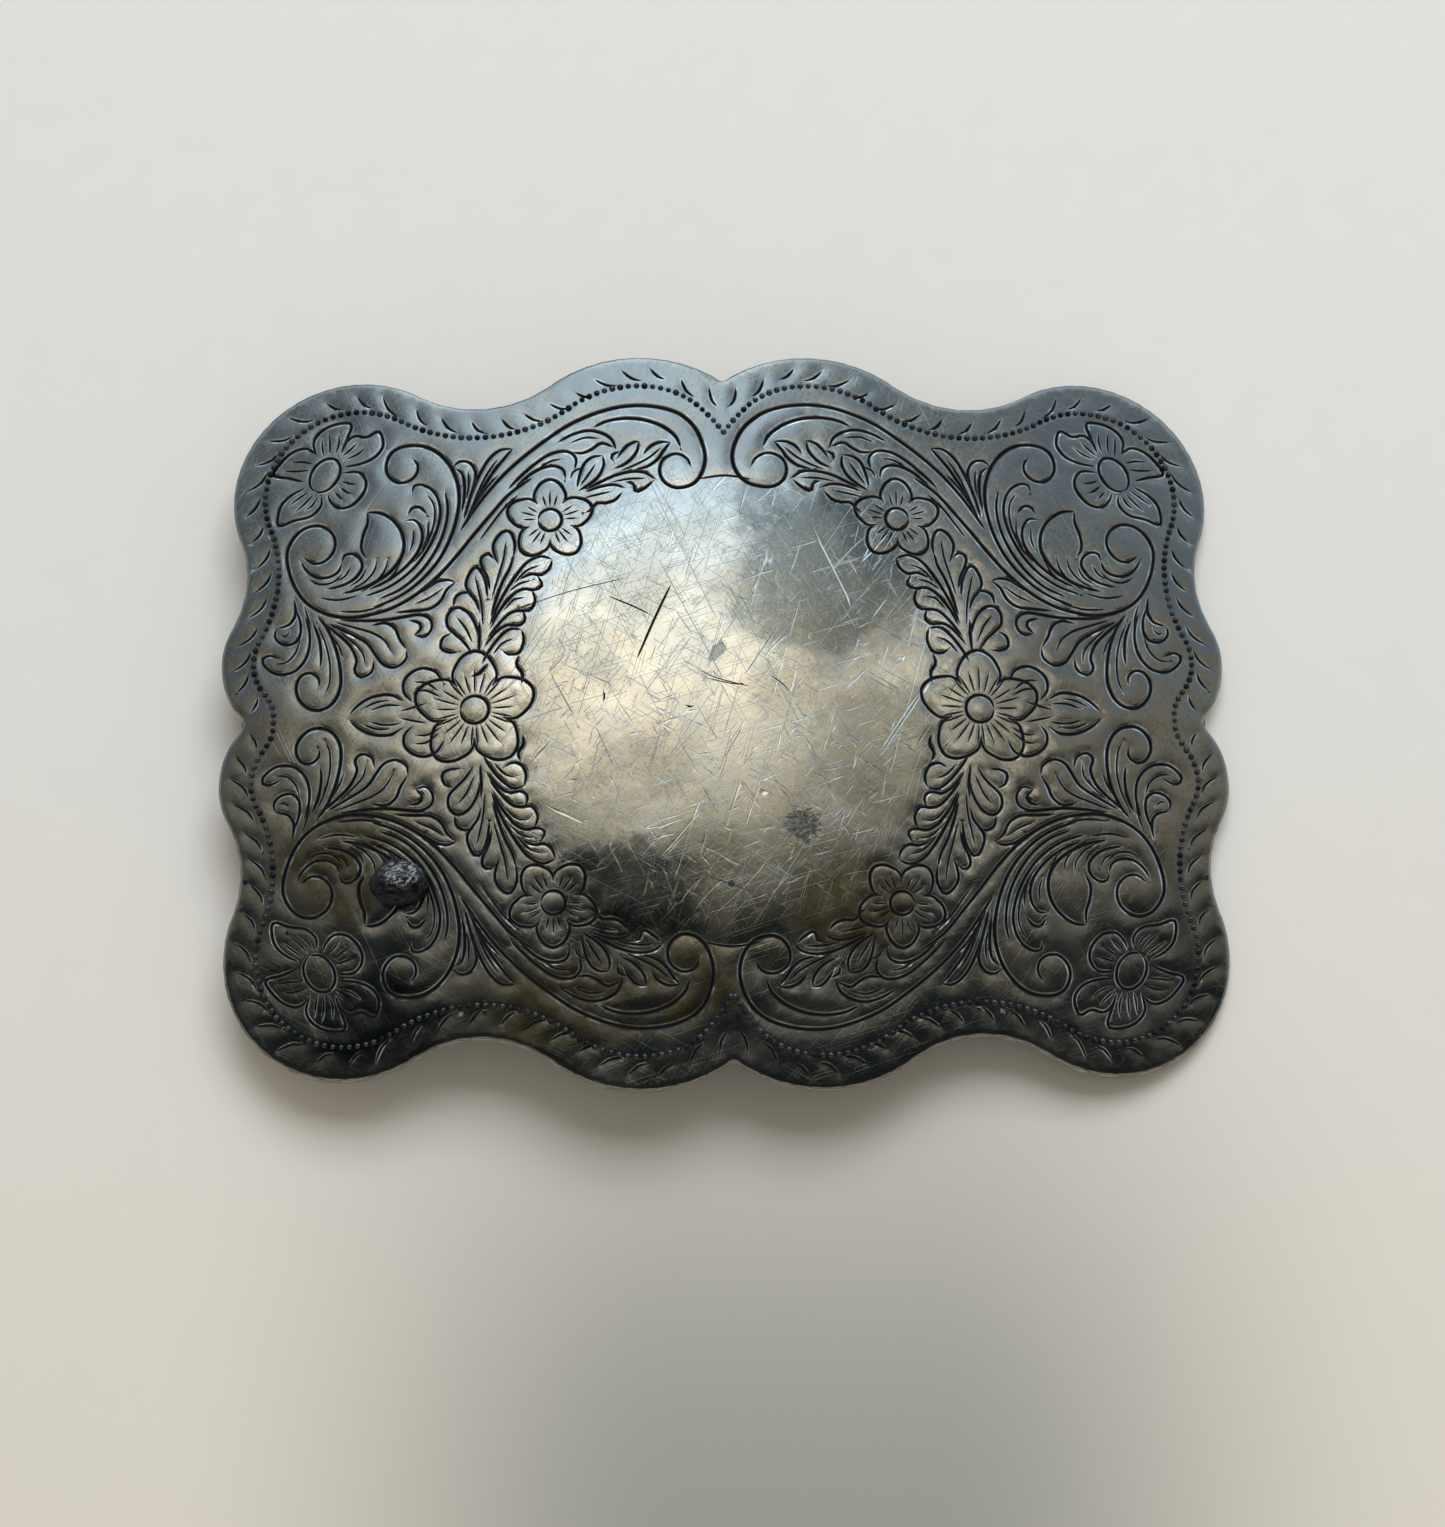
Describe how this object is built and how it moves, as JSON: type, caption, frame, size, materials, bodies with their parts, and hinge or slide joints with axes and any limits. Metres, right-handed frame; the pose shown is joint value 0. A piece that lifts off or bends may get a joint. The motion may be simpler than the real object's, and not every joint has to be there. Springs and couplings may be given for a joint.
{
  "type": "belt buckle",
  "caption": "Scalloped, bowed plate buckle with engraved scrollwork, a hinged wire bail and a fixed hook soldered to its back.",
  "frame": {"origin": "under the middle of the plate, level with the hook's tip, which is the lowest point", "axes": "+X along the belt from the hook towards the bail, +Y across the belt, +Z out of the engraved face"},
  "size_m": [0.089, 0.067, 0.0104],
  "materials": {
    "engraved_plate": "nickel silver, worn, antiqued dark in the cuts",
    "dark_lump": "rough gloss",
    "back_sheet": "nickel silver, dull, unpolished",
    "solder": "dull, flowed",
    "back_fitting": "nickel silver, satin",
    "braze": "dull, flowed",
    "wire": "nickel plate, satin, rubbed"
  },
  "bodies": {
    "buckle": {"face_plate": "engraved_plate", "repair_lump": "dark_lump", "hinge_strap": "back_sheet", "strap_solder": "solder", "hinge_barrel": "back_fitting", "barrel_braze": "braze", "hook_base": "back_sheet", "hook_solder": "solder", "hook_prong": "back_fitting"},
    "bail": {"bail": "wire"}
  },
  "joints": [
    {"name": "bail_hinge", "type": "hinge", "parent": "buckle", "child": "bail", "pos_m": [0.012, 0, 0.00491], "axis": [0, 1, 0], "range_deg": [-1.8, 176]}
  ]
}
